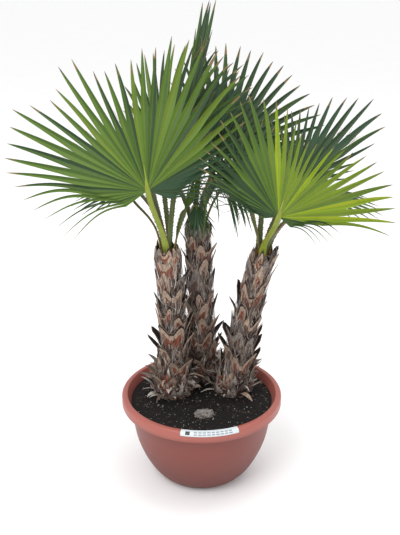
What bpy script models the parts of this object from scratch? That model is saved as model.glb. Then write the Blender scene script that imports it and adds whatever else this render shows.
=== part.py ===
"""A clump of three young mexican fan palms in a round plastic bowl, in metres with +Z up.

The origin is the centre of the bowl's flat underside. The viewer stands on the -Y side.
Each stem wears the boots of its old leaves and carries a crown of fan fronds. A frond is one
closed solid: a flat petiole and a thin fan blade whose outline is cut into its leaflets.
"""
import math
from dataclasses import dataclass

import bmesh
import bpy
from mathutils import Vector
from mathutils.bvhtree import BVHTree

UP = Vector((0.0, 0.0, 1.0))

# Gap left between pieces that touch
GAP = 0.0003

# The bowl, turned about the vertical axis
BOWL_STEPS = 54
BOWL_TURN = 2.27
BOWL_WALL = 0.0035
BOWL_FLOOR = 0.006
BOWL_BODY = (
    (0.124, 0.0),
    (0.144, 0.016),
    (0.166, 0.044),
    (0.188, 0.086),
    (0.206, 0.136),
    (0.216, 0.190),
    (0.224, 0.246),
)
BOWL_INNER_LEVELS = (0.006, 0.050, 0.120, 0.246)
RIM_RADIUS = 0.250
RIM_INNER_RADIUS = 0.232
RIM_TOP = 0.280
RIM_ROLL = 0.009
RIM_BOTTOM = 0.246

# The soil and the lump of old fibre lying on it
SOIL_TOP = 0.254
SOIL_WALL_GAP = 0.0005
LUMP_PLACE = (0.008, -0.112)
LUMP_SIZE = (0.030, 0.021, 0.015)

# The paper strip that follows the rolled rim
LABEL_FIRST_STEP = 38
LABEL_STEPS = 6
LABEL_THICKNESS = 0.0006
LABEL_LOWER_EDGE = 0.268

# The stems: sides of a column, heights of its rings and how fast the root flare dies away
STEM_SIDES = 10
STEM_RINGS = 8
FLARE_HEIGHT = 0.150
BOOT_TURN = 137.5
BOOT_SINK = 0.006
BOOT_TIP = 0.005

# The fronds
BLADE_THICKNESS = 0.0046
JOINED_SHARE = 0.56
SIDE_SPLIT = 0.45
SIDE_SPLIT_FROM = 68.0
LEAFLET_PITCH = 5.8
FAR_LEAFLET_PITCH = 8.0
PLEAT = 0.0035
PETIOLE_SIDES = 6
PETIOLE_RINGS = 6
INNER_RING = 0.0112
OUTER_RING = 0.0222
INNER_FOOT = (0.0088, 0.0042)
OUTER_FOOT = (0.0116, 0.0046)
PETIOLE_NECK = (0.0080, 0.0042)
COSTA_SHARE = 0.16
CLEARANCE = 0.0012
REACH_SHARES = (1.0, 0.88, 0.76, 0.64, 0.52, 0.40, 0.28, 0.16)


def direction(azimuth, elevation):
    """Unit vector from an azimuth counted from +X towards +Y and an elevation, in degrees."""
    across = math.cos(math.radians(elevation))
    return Vector((
        across * math.cos(math.radians(azimuth)),
        across * math.sin(math.radians(azimuth)),
        math.sin(math.radians(elevation)),
    ))


def mix(first, second, share):
    return first + (second - first) * share


def smooth_step(share):
    share = min(1.0, max(0.0, share))
    return share * share * (3.0 - 2.0 * share)


def scatter(seed):
    """A steady number from 0 to 1 for each seed."""
    return (math.sin(seed * 12.9898) * 43758.5453) % 1.0


def new_collection(name):
    collection = bpy.data.collections.new(name)
    bpy.context.scene.collection.children.link(collection)
    return collection


def new_material(name, colour, roughness):
    material = bpy.data.materials.new(name)
    material.use_nodes = True
    shader = material.node_tree.nodes["Principled BSDF"]
    shader.inputs["Base Color"].default_value = (*colour, 1.0)
    shader.inputs["Roughness"].default_value = roughness
    shader.inputs["Metallic"].default_value = 0.0
    return material


def new_object(name, mesh, collection, material=None):
    thing = bpy.data.objects.new(name, mesh)
    collection.objects.link(thing)
    if material is not None:
        mesh.materials.append(material)
    return thing


def mesh_from(name, builder):
    bmesh.ops.recalc_face_normals(builder, faces=builder.faces)
    mesh = bpy.data.meshes.new(name)
    builder.to_mesh(mesh)
    builder.free()
    return mesh


def loft(rings):
    """Closed solid through rings of points, each ring with the same number of points."""
    builder = bmesh.new()
    rows = [[builder.verts.new(point) for point in ring] for ring in rings]
    sides = len(rows[0])
    for lower, upper in zip(rows, rows[1:]):
        for place in range(sides):
            after = (place + 1) % sides
            builder.faces.new((lower[place], lower[after], upper[after], upper[place]))
    builder.faces.new(rows[0])
    builder.faces.new(rows[-1])
    bmesh.ops.triangulate(builder, faces=builder.faces)
    return builder


def united(name, solids, collection, material):
    """One solid from several that run into each other."""
    parts = new_collection(name + "_parts")
    base = new_object(name, solids[0], collection, material)
    for number, solid in enumerate(solids[1:]):
        new_object(f"{name}_part_{number}", solid, parts)
    union = base.modifiers.new("union", "BOOLEAN")
    union.operation = "UNION"
    union.solver = "EXACT"
    union.operand_type = "COLLECTION"
    union.collection = parts
    graph = bpy.context.evaluated_depsgraph_get()
    joined = bpy.data.meshes.new_from_object(base.evaluated_get(graph))
    base.modifiers.clear()
    for helper in list(parts.objects):
        bpy.data.objects.remove(helper)
    bpy.data.collections.remove(parts)
    joined.materials.clear()
    joined.materials.append(material)
    base.data = joined
    return base


def tree_of(solid):
    """Search tree of a mesh, for telling what touches it."""
    points = [vertex.co for vertex in solid.vertices]
    faces = [tuple(polygon.vertices) for polygon in solid.polygons]
    return BVHTree.FromPolygons(points, faces)


# The bowl and what lies in it


def body_radius(height):
    """Outer radius of the bowl's body at a height."""
    for (low_radius, low), (high_radius, high) in zip(BOWL_BODY, BOWL_BODY[1:]):
        if height <= high:
            return mix(low_radius, high_radius, (height - low) / (high - low))
    return BOWL_BODY[-1][0]


def inner_radius(height):
    """Radius of the bowl's inner wall, which follows the body in fewer, longer runs."""
    for low, high in zip(BOWL_INNER_LEVELS, BOWL_INNER_LEVELS[1:]):
        if height <= high:
            share = (height - low) / (high - low)
            return mix(body_radius(low), body_radius(high), share) - BOWL_WALL
    return body_radius(BOWL_INNER_LEVELS[-1]) - BOWL_WALL


def inner_wall(low, high, gap):
    """The bowl's inner wall from one height up to another, moved inwards by a gap."""
    heights = [low] + [z for z in BOWL_INNER_LEVELS if low < z < high] + [high]
    return [(inner_radius(z) - gap, z) for z in heights]


def rim_roll(gap, lowest):
    """The rim's face from its inner edge over the roll down to a height, moved out by a gap."""
    centre = (RIM_RADIUS - RIM_ROLL, RIM_TOP - RIM_ROLL)
    points = [(RIM_INNER_RADIUS + 0.003, RIM_TOP + gap)]
    for angle in (90.0, 60.0, 30.0, 0.0):
        reach = RIM_ROLL + gap
        across = math.cos(math.radians(angle)) * reach
        above = math.sin(math.radians(angle)) * reach
        points.append((centre[0] + across, centre[1] + above))
    points.append((RIM_RADIUS + gap, lowest))
    return points


def turned(name, profile, steps, turn, collection, material):
    """Solid of revolution from a closed or axis-to-axis profile of (radius, height) points."""
    mesh = bpy.data.meshes.new(name)
    edges = [(place, place + 1) for place in range(len(profile) - 1)]
    mesh.from_pydata([(radius, 0.0, height) for radius, height in profile], edges, [])
    thing = new_object(name, mesh, collection, material)
    screw = thing.modifiers.new("turn", "SCREW")
    screw.axis = "Z"
    screw.angle = math.radians(360.0)
    screw.steps = steps
    screw.render_steps = steps
    screw.use_merge_vertices = True
    screw.merge_threshold = 0.00001
    screw.use_normal_flip = True
    screw.use_smooth_shade = True
    thing.rotation_euler.z = math.radians(turn)
    return thing


def bowl(collection):
    plastic = new_material("terracotta_plastic", (0.42, 0.115, 0.085), 0.45)
    outside = [(0.0, 0.0)] + list(BOWL_BODY)
    lip = [(RIM_RADIUS - 0.004, RIM_BOTTOM - 0.0005), (RIM_RADIUS, RIM_BOTTOM + 0.004)]
    roll = list(reversed(rim_roll(0.0, RIM_BOTTOM + 0.012)))
    edge = [(RIM_INNER_RADIUS, RIM_TOP - 0.002), (RIM_INNER_RADIUS - 0.004, RIM_TOP - 0.012)]
    inside = list(reversed(inner_wall(BOWL_FLOOR, RIM_BOTTOM, 0.0))) + [(0.0, BOWL_FLOOR)]
    profile = outside + lip + roll + edge + inside
    return turned("bowl", profile, BOWL_STEPS, BOWL_TURN, collection, plastic)


def soil(collection):
    earth = new_material("potting_soil", (0.022, 0.016, 0.013), 0.95)
    wall = inner_wall(BOWL_FLOOR + GAP, SOIL_TOP, SOIL_WALL_GAP)
    profile = [(0.0, BOWL_FLOOR + GAP)] + wall + [(0.0, SOIL_TOP)]
    return turned("soil", profile, BOWL_STEPS, BOWL_TURN, collection, earth)


def lump(collection):
    fibre = new_material("fibre_lump", (0.30, 0.27, 0.25), 0.95)
    bpy.ops.mesh.primitive_ico_sphere_add(subdivisions=2, radius=1.0)
    ball = bpy.context.object
    ball.name = "fibre_lump"
    ball.data.name = "fibre_lump"
    for holder in list(ball.users_collection):
        holder.objects.unlink(ball)
    collection.objects.link(ball)
    builder = bmesh.new()
    builder.from_mesh(ball.data)
    for vertex in builder.verts:
        vertex.co.x *= LUMP_SIZE[0]
        vertex.co.y *= LUMP_SIZE[1]
        vertex.co.z *= LUMP_SIZE[2]
    flat_cut = bmesh.ops.bisect_plane(
        builder, geom=builder.verts[:] + builder.edges[:] + builder.faces[:],
        plane_co=(0.0, 0.0, -0.35 * LUMP_SIZE[2]), plane_no=(0.0, 0.0, 1.0), clear_inner=True,
    )
    rim = [item for item in flat_cut["geom_cut"] if isinstance(item, bmesh.types.BMEdge)]
    bmesh.ops.edgeloop_fill(builder, edges=rim)
    bmesh.ops.recalc_face_normals(builder, faces=builder.faces)
    builder.to_mesh(ball.data)
    builder.free()
    ball.data.materials.append(fibre)
    ball.location = (*LUMP_PLACE, SOIL_TOP + GAP + 0.35 * LUMP_SIZE[2])
    return ball


def label(collection):
    """Blank strip bent over the rim, with its facets on the rim's own facets."""
    paper = new_material("label_paper", (0.80, 0.84, 0.84), 0.5)
    under = rim_roll(GAP, LABEL_LOWER_EDGE)
    over = rim_roll(GAP + LABEL_THICKNESS, LABEL_LOWER_EDGE)
    section = under + list(reversed(over))
    rings = []
    for step in range(LABEL_STEPS + 1):
        angle = math.radians((LABEL_FIRST_STEP + step) * 360.0 / BOWL_STEPS)
        rings.append([
            Vector((radius * math.cos(angle), radius * math.sin(angle), height))
            for radius, height in section
        ])
    strip = new_object("label_strip", mesh_from("label_strip", loft(rings)), collection, paper)
    strip.rotation_euler.z = math.radians(BOWL_TURN)
    return strip


# The stems


@dataclass
class Stem:
    """A booted column: foot and top of its middle line, its bow, radii and boots."""

    name: str
    foot: Vector
    top: Vector
    bow: Vector
    foot_radius: float
    waist_radius: float
    top_radius: float
    boots: int
    first_boot: float

    def share(self, height):
        return (height - self.foot.z) / (self.top.z - self.foot.z)

    def centre(self, height):
        share = self.share(height)
        return mix(self.foot, self.top, share) + self.bow * (4.0 * share * (1.0 - share))

    def radius(self, height):
        taper = mix(self.waist_radius, self.top_radius, self.share(height))
        flare = 1.0 - smooth_step((height - self.foot.z) / FLARE_HEIGHT)
        return taper + (self.foot_radius - self.waist_radius) * flare

    def skin(self, height, azimuth, outwards):
        """Point at a distance outside the column's face."""
        level = self.centre(height)
        reach = self.radius(height) + outwards
        angle = math.radians(azimuth)
        return level + Vector((reach * math.cos(angle), reach * math.sin(angle), 0.0))


GROUND = SOIL_TOP + GAP

STEMS = (
    Stem("left_stem", Vector((-0.090, 0.040, GROUND)), Vector((-0.100, 0.000, 0.738)),
         Vector((0.006, 0.004, 0.0)), 0.063, 0.040, 0.032, 19, 248.0),
    Stem("middle_stem", Vector((0.002, 0.134, GROUND)), Vector((-0.012, 0.080, 0.785)),
         Vector((0.002, 0.0, 0.0)), 0.050, 0.041, 0.032, 20, 300.0),
    Stem("right_stem", Vector((0.099, 0.052, GROUND)), Vector((0.180, 0.000, 0.732)),
         Vector((-0.006, 0.004, 0.0)), 0.061, 0.039, 0.032, 19, 225.0),
)


def column(stem):
    """The bare column, cut flat at the soil and at its top."""
    rings = []
    for number in range(STEM_RINGS):
        share = (number / (STEM_RINGS - 1)) ** 1.25
        height = mix(stem.foot.z, stem.top.z, share)
        ring = [stem.skin(height, side * 360.0 / STEM_SIDES, 0.0) for side in range(STEM_SIDES)]
        rings.append(ring)
    return rings


def boot_rings(stem, number):
    """Stub of an old leaf: a shield that widens from the column and ends in a raised point."""
    share = (number + 0.35) / stem.boots
    size = mix(0.070, 0.058, share) * (0.9 + 0.2 * scatter(number + stem.first_boot))
    low = mix(stem.foot.z + 0.004, stem.top.z - 0.055, share)
    azimuth = stem.first_boot + number * BOOT_TURN
    stand = mix(0.024, 0.012, share) * (0.6 + 0.7 * scatter(3 * number + stem.first_boot))
    width = size * 0.66
    levels = (
        (0.0, 0.34 * width, -BOOT_SINK, 0.0025),
        (0.48, 0.50 * width, -BOOT_SINK, 0.0065),
        (1.0, 0.10 * width, stand - BOOT_TIP, stand),
    )
    rings = []
    for climb, half_width, inner, outer in levels:
        height = low + climb * size
        spread = math.degrees(half_width / stem.radius(height))
        rings.append([
            stem.skin(height, azimuth - spread, inner),
            stem.skin(height, azimuth + spread, inner),
            stem.skin(height, azimuth + spread * 0.8, outer),
            stem.skin(height, azimuth - spread * 0.8, outer),
        ])
    return rings


def build_stem(stem, neighbours, collection):
    bark = new_material(stem.name + "_bark", (0.20, 0.11, 0.08), 0.9)
    solids = [mesh_from(stem.name, loft(column(stem)))]
    for number in range(stem.boots):
        boot = mesh_from("boot", loft(boot_rings(stem, number)))
        tree = tree_of(boot)
        if any(tree.overlap(other) for other in neighbours):
            continue
        solids.append(boot)
    return united(stem.name, solids, collection, bark)


# The fronds


@dataclass
class Frond:
    """A fan: its stem, where its petiole stands, its hub and how the blade looks from there.

    Face is the azimuth and elevation of the way the blade looks. Turn is the angle of its middle
    line in its own plane: 90 is straight up, less leans to the right as seen from in front. The
    fan spreads from -left to right degrees about its middle line. Rise tells how far the petiole
    goes straight up before it leans out. Reach holds (angle, share of the radius) points from
    one side to the other.
    """

    name: str
    stem: int
    ring: float
    foot_azimuth: float
    hub: tuple
    face: tuple
    turn: float
    left: float
    right: float
    radius: float
    sag: float = 0.03
    cup: float = -0.12
    arch: float = 0.10
    pitch: float = LEAFLET_PITCH
    rise: float = 0.30
    reach: tuple = ()

    def __post_init__(self):
        azimuth, rise = self.face
        turn = math.radians(self.turn)
        level = direction(azimuth + 90.0, 0.0)
        upright = direction(azimuth + 180.0, 90.0 - rise)
        self.out = direction(azimuth, rise)
        self.along = level * math.cos(turn) + upright * math.sin(turn)
        self.side = level * math.sin(turn) - upright * math.cos(turn)
        self.centre = Vector(self.hub)
        self.leaflets = max(3, round((self.left + self.right) / self.pitch))
        self.shares = [1.0] * self.leaflets

    def edge_angle(self, place):
        """Angle of the notch before the leaflet of this number."""
        return mix(-self.left, self.right, place / self.leaflets)

    def full_reach(self, angle):
        """Share of the radius that a leaflet at this angle has with nothing in its way."""
        if not self.reach:
            widest = max(self.left, self.right)
            drop = max(0.0, (abs(angle) - 0.5 * widest) / (0.5 * widest))
            return 1.0 - 0.38 * drop ** 1.5
        for (before, low), (after, high) in zip(self.reach, self.reach[1:]):
            if angle <= after:
                return mix(low, high, (angle - before) / (after - before))
        return self.reach[-1][1]

    def point(self, angle, distance, lift=0.0):
        """Point of the blade: its sides cup forwards, its ends arch backwards and sag."""
        turn = math.radians(angle)
        share = distance / self.radius
        flat = self.along * math.cos(turn) + self.side * math.sin(turn)
        cupped = self.cup * distance * math.sin(turn) ** 2
        arched = self.arch * self.radius * share ** 2
        sagged = self.sag * self.radius * share ** 2
        return self.centre + flat * distance + self.out * (cupped - arched + lift) - UP * sagged

    def notch(self, place, share):
        zigzag = PLEAT if place % 2 else -PLEAT
        angle = self.edge_angle(place)
        split = 1.0 - SIDE_SPLIT * smooth_step((abs(angle) - SIDE_SPLIT_FROM) / 40.0)
        distance = self.radius * self.full_reach(angle) * share * JOINED_SHARE * split
        return self.point(angle, distance, zigzag * share)

    def tip(self, number, share):
        angle = self.edge_angle(number + 0.5)
        wobble = 1.0 - 0.05 * scatter(number * 1.7 + self.radius * 100.0)
        return self.point(angle, self.radius * self.full_reach(angle) * share * wobble)


def far_frond(name, stem, ring, foot_azimuth, azimuth, rise, length, tilt, radius, twist,
              climb=0.30):
    """A frond of the crown's far side: its petiole leans out and its blade goes on from it."""
    hub = STEMS[stem].top + direction(azimuth, rise) * length
    face = (azimuth + 180.0 + twist, 90.0 - tilt)
    return Frond(name, stem, ring, foot_azimuth, tuple(hub), face, 90.0, 76.0, 76.0, radius,
                 sag=0.16, cup=-0.15, arch=0.12, pitch=FAR_LEAFLET_PITCH, rise=climb)


LEFT, MIDDLE, RIGHT = 0, 1, 2

FRONDS = (
    # The two great fans that face the viewer
    Frond("left_front_frond", LEFT, OUTER_RING, 262.0, (-0.149, -0.090, 0.956), (-90.0, 16.0),
          98.0, 118.0, 118.0, 0.452, sag=0.0, cup=-0.16,
          reach=((-118.0, 0.55), (-104.0, 0.65), (-95.0, 0.75), (-85.0, 0.84), (-74.0, 0.93),
                 (-64.0, 0.96), (-55.0, 1.02), (-48.0, 1.03), (-43.0, 0.84), (-34.0, 0.86),
                 (-29.0, 0.97), (-22.0, 0.93), (-15.0, 0.78), (-9.0, 0.83), (0.0, 0.82),
                 (5.0, 0.88), (14.0, 0.87), (17.0, 0.97), (24.0, 0.98), (32.0, 0.96),
                 (40.0, 0.98), (47.0, 0.91), (57.0, 0.78), (66.0, 0.77), (78.0, 0.62),
                 (118.0, 0.50))),
    Frond("right_front_frond", RIGHT, OUTER_RING, 262.0, (0.207, -0.165, 0.905), (-80.0, 18.0),
          71.0, 112.0, 114.0, 0.368, sag=0.0, cup=-0.14,
          reach=((-112.0, 0.34), (-90.0, 0.58), (-67.0, 0.75), (-58.0, 0.73), (-44.0, 0.86),
                 (-28.0, 0.95), (-21.0, 0.89), (-11.0, 0.82), (0.0, 0.67), (8.0, 0.62),
                 (17.0, 0.64), (26.0, 0.72), (35.0, 0.80), (44.0, 0.89), (52.0, 0.97),
                 (60.0, 1.02), (70.0, 1.04), (80.0, 1.0), (84.0, 0.94), (88.0, 0.54),
                 (93.0, 0.50), (114.0, 0.40))),
    # The upright spear and the fans that show between and beside the great ones
    Frond("left_spear_frond", LEFT, INNER_RING, 300.0, (-0.052, 0.030, 1.095), (-75.0, 16.0),
          73.5, 5.4, 5.4, 0.386, sag=0.0, cup=0.0, arch=0.03, pitch=1.8),
    Frond("left_upper_frond", LEFT, INNER_RING, 60.0, (-0.112, 0.060, 1.030), (-118.0, 25.0),
          88.0, 62.0, 50.0, 0.345),
    Frond("left_side_frond", LEFT, OUTER_RING, 190.0, (-0.215, 0.040, 0.930), (168.0, 22.0),
          92.0, 76.0, 76.0, 0.230, pitch=FAR_LEAFLET_PITCH, rise=0.62),
    Frond("left_inner_frond", LEFT, OUTER_RING, 334.0, (-0.052, 0.020, 0.860), (-110.0, 20.0),
          62.0, 26.0, 26.0, 0.170, cup=0.0),
    Frond("middle_right_frond", MIDDLE, INNER_RING, 20.0, (0.051, 0.160, 0.992), (-80.0, 24.0),
          55.0, 70.0, 66.0, 0.382),
    Frond("middle_upper_frond", MIDDLE, INNER_RING, 140.0, (-0.005, 0.120, 1.010),
          (-105.0, 30.0), 95.0, 46.0, 40.0, 0.300),
    Frond("middle_side_frond", MIDDLE, INNER_RING, 260.0, (0.030, 0.055, 1.000), (-25.0, 20.0),
          84.0, 60.0, 60.0, 0.220, pitch=FAR_LEAFLET_PITCH),
    Frond("middle_low_frond", MIDDLE, OUTER_RING, 290.0, (0.035, 0.010, 0.962), (130.0, 118.0),
          90.0, 60.0, 60.0, 0.150, sag=0.08),
    Frond("right_back_frond", RIGHT, INNER_RING, 60.0, (0.268, 0.080, 0.920), (-76.0, 26.0),
          50.0, 58.0, 48.0, 0.405,
          reach=((-58.0, 0.50), (-31.0, 0.60), (-23.0, 0.63), (-15.0, 0.72), (-11.0, 0.80),
                 (-1.0, 0.91), (7.0, 0.99), (11.0, 1.07), (17.0, 1.05), (22.0, 1.0),
                 (26.0, 0.90), (32.0, 0.60), (48.0, 0.45))),
    Frond("right_inner_frond", RIGHT, INNER_RING, 180.0, (0.128, 0.020, 0.930), (-115.0, 24.0),
          112.0, 60.0, 60.0, 0.220),
    Frond("right_side_frond", RIGHT, INNER_RING, 300.0, (0.262, -0.020, 0.905), (8.0, 24.0),
          90.0, 70.0, 70.0, 0.200, pitch=FAR_LEAFLET_PITCH),
    # A small old frond that hangs before the middle stem's top
    Frond("middle_hanging_frond", MIDDLE, OUTER_RING, 218.0, (-0.016, 0.014, 0.884),
          (-90.0, 40.0), -82.0, 42.0, 42.0, 0.110, pitch=FAR_LEAFLET_PITCH),
    # The far side of each crown
    far_frond("left_far_frond_1", LEFT, OUTER_RING, 118.0, 106.0, 38.0, 0.27, 12.0, 0.28, -14.0),
    far_frond("left_far_frond_2", LEFT, INNER_RING, 180.0, 142.0, 56.0, 0.21, 4.0, 0.20, 10.0,
              climb=0.50),
    far_frond("middle_far_frond_1", MIDDLE, OUTER_RING, 2.0, 18.0, 55.0, 0.19, 15.0, 0.20, -8.0),
    far_frond("middle_far_frond_2", MIDDLE, OUTER_RING, 74.0, 62.0, 42.0, 0.27, 20.0, 0.28, 10.0),
    far_frond("middle_far_frond_3", MIDDLE, OUTER_RING, 146.0, 122.0, 42.0, 0.26, 22.0, 0.27,
              -12.0),
    far_frond("right_far_frond_1", RIGHT, OUTER_RING, 46.0, 42.0, 32.0, 0.25, 8.0, 0.22, -10.0),
    far_frond("right_far_frond_2", RIGHT, OUTER_RING, 118.0, 88.0, 35.0, 0.26, 12.0, 0.25, 12.0),
)


def petiole_rings(frond):
    """The flat leaf stalk from the stem's top to the hub, run on into the blade as its rib."""
    stem = STEMS[frond.stem]
    outwards = direction(frond.foot_azimuth, 0.0)
    foot = stem.top + outwards * frond.ring + UP * GAP
    foot_size = INNER_FOOT if frond.ring == INNER_RING else OUTER_FOOT
    span = (frond.centre - foot).length
    heading = (frond.centre - foot).normalized()
    arrival = (heading * 0.55 + frond.along * 0.45).normalized()
    early = foot + UP * (frond.rise * span)
    late = frond.centre - arrival * (0.33 * span)
    tangential = UP.cross(outwards)
    if tangential.dot(frond.side) < 0.0:
        tangential = -tangential
    rings = []
    for number in range(PETIOLE_RINGS):
        share = number / (PETIOLE_RINGS - 1)
        rest = 1.0 - share
        centre = (foot * rest ** 3 + early * (3.0 * rest ** 2 * share)
                  + late * (3.0 * rest * share ** 2) + frond.centre * share ** 3)
        heading = ((early - foot) * rest ** 2 + (late - early) * (2.0 * rest * share)
                   + (frond.centre - late) * share ** 2).normalized()
        wide = mix(tangential, frond.side, smooth_step(share))
        narrowing = smooth_step(share * 2.2)
        half_width = mix(foot_size[0], PETIOLE_NECK[0], narrowing)
        half_depth = mix(foot_size[1], PETIOLE_NECK[1], narrowing)
        rings.append(oval_ring(centre, heading, wide, half_width, half_depth))
    costa_end = frond.point(0.0, COSTA_SHARE * frond.radius)
    rings.append(oval_ring(costa_end, frond.along, frond.side, 0.0030, 0.0026))
    return rings


def oval_ring(centre, heading, wide, half_width, half_depth):
    across = (wide - heading * wide.dot(heading)).normalized()
    deep = heading.cross(across)
    ring = []
    for side in range(PETIOLE_SIDES):
        angle = 2.0 * math.pi * (side + 0.5) / PETIOLE_SIDES
        ring.append(centre + across * (math.cos(angle) * half_width)
                    + deep * (math.sin(angle) * half_depth))
    return ring


def leaflet_tree(frond, number, share):
    """Search tree of one leaflet with its piece of the joined blade, a little swollen."""
    swell = frond.out * (0.5 * BLADE_THICKNESS + CLEARANCE)
    outline = (frond.centre, frond.notch(number, share), frond.tip(number, share),
               frond.notch(number + 1, share))
    points = [point + swell for point in outline] + [point - swell for point in outline]
    faces = ((0, 1, 2, 3), (7, 6, 5, 4), (0, 4, 5, 1), (1, 5, 6, 2), (2, 6, 7, 3), (3, 7, 4, 0))
    return BVHTree.FromPolygons(points, faces)


def free_share(frond, number, obstacles):
    """The longest share of its reach at which a leaflet touches nothing."""
    for share in REACH_SHARES:
        tree = leaflet_tree(frond, number, share)
        if not any(tree.overlap(obstacle) for obstacle in obstacles):
            return share
    return 0.5 * REACH_SHARES[-1]


def blade(frond):
    """The fan as a closed thin solid: a front and a back sheet and the cut edge between them."""
    half = frond.out * (0.5 * BLADE_THICKNESS)
    ends = [1.0] + frond.shares + [1.0]
    outline = []
    for number in range(frond.leaflets):
        shorter = min(frond.shares[number], ends[number])
        outline.append(frond.notch(number, shorter))
        outline.append(frond.tip(number, frond.shares[number]))
    outline.append(frond.notch(frond.leaflets, frond.shares[-1]))
    builder = bmesh.new()
    front = [builder.verts.new(point + half) for point in outline]
    back = [builder.verts.new(point - half) for point in outline]
    hub_front = builder.verts.new(frond.centre + half)
    hub_back = builder.verts.new(frond.centre - half)
    for place in range(0, len(outline) - 1, 2):
        for hub, sheet in ((hub_front, front), (hub_back, back)):
            builder.faces.new((hub, sheet[place], sheet[place + 2]))
            builder.faces.new((sheet[place], sheet[place + 1], sheet[place + 2]))
    for place in range(len(outline) - 1):
        builder.faces.new((front[place], front[place + 1], back[place + 1], back[place]))
    builder.faces.new((hub_front, front[0], back[0], hub_back))
    builder.faces.new((front[-1], hub_front, hub_back, back[-1]))
    bmesh.ops.triangulate(builder, faces=builder.faces)
    return mesh_from(frond.name, builder)


def build_fronds(stems, collection):
    stalks = [mesh_from(frond.name + "_stalk", loft(petiole_rings(frond))) for frond in FRONDS]
    stalk_trees = [tree_of(stalk) for stalk in stalks]
    stem_trees = [tree_of(stem.data) for stem in stems]
    placed = []
    for place, (frond, stalk) in enumerate(zip(FRONDS, stalks)):
        others = stalk_trees[:place] + stalk_trees[place + 1:]
        obstacles = stem_trees + others + placed
        frond.shares = [free_share(frond, n, obstacles) for n in range(frond.leaflets)]
        fan = blade(frond)
        placed.append(tree_of(fan))
        green = new_material(frond.name + "_green", (0.10, 0.21, 0.03), 0.55)
        united(frond.name, [fan, stalk], collection, green)


def main():
    for thing in list(bpy.data.objects):
        bpy.data.objects.remove(thing)
    collection = new_collection("potted_fan_palm")
    bowl(collection)
    soil(collection)
    lump(collection)
    label(collection)
    stems = []
    for stem in STEMS:
        neighbours = [tree_of(other.data) for other in stems]
        stems.append(build_stem(stem, neighbours, collection))
    build_fronds(stems, collection)


main()
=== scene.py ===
"""A potted clump of three young mexican fan palms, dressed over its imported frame.

Metres, +Z up, with the origin at the centre of the bowl's flat underside and the viewer on the
-Y side. The sections follow the plant as it is put together: the bowl and its label, the soil,
the booted stems, the fan fronds, and then the floor, the light and the camera.
"""

import math
import random
from dataclasses import dataclass

import bpy
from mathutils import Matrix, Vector, noise
from mathutils.kdtree import KDTree


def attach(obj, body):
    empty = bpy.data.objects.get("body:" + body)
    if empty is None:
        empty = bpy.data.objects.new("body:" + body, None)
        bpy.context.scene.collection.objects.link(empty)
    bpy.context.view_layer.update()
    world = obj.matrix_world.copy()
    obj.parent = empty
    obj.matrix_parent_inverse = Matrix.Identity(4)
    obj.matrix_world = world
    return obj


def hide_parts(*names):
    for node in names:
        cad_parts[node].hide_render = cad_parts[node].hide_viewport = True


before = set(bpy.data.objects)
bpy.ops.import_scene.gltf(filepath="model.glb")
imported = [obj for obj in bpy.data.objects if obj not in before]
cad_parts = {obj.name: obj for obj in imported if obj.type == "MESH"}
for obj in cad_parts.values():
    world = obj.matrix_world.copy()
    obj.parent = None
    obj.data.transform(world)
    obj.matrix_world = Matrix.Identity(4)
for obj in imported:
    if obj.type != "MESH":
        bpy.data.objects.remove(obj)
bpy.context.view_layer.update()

# The bowl is one moulding of terracotta-coloured plastic with a soft sheen and a fine grain. Its
# rim rolls outwards over the body, with light painted paler on the rim and shade painted darker on
# the body below it, and towards the foot it turns darker and rougher.


class Value:
    """A number in a material's nodes, so that shader maths reads as an expression."""

    def __init__(self, finish, socket):
        self.finish = finish
        self.socket = socket

    def maths(self, operation, first, second):
        return self.finish.number("Math", {"operation": operation}, (first, second))

    def __add__(self, other):
        return self.maths("ADD", self, other)

    __radd__ = __add__

    def __mul__(self, other):
        return self.maths("MULTIPLY", self, other)

    __rmul__ = __mul__

    def __sub__(self, other):
        return self.maths("SUBTRACT", self, other)

    def __rsub__(self, other):
        return self.maths("SUBTRACT", other, self)


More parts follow.
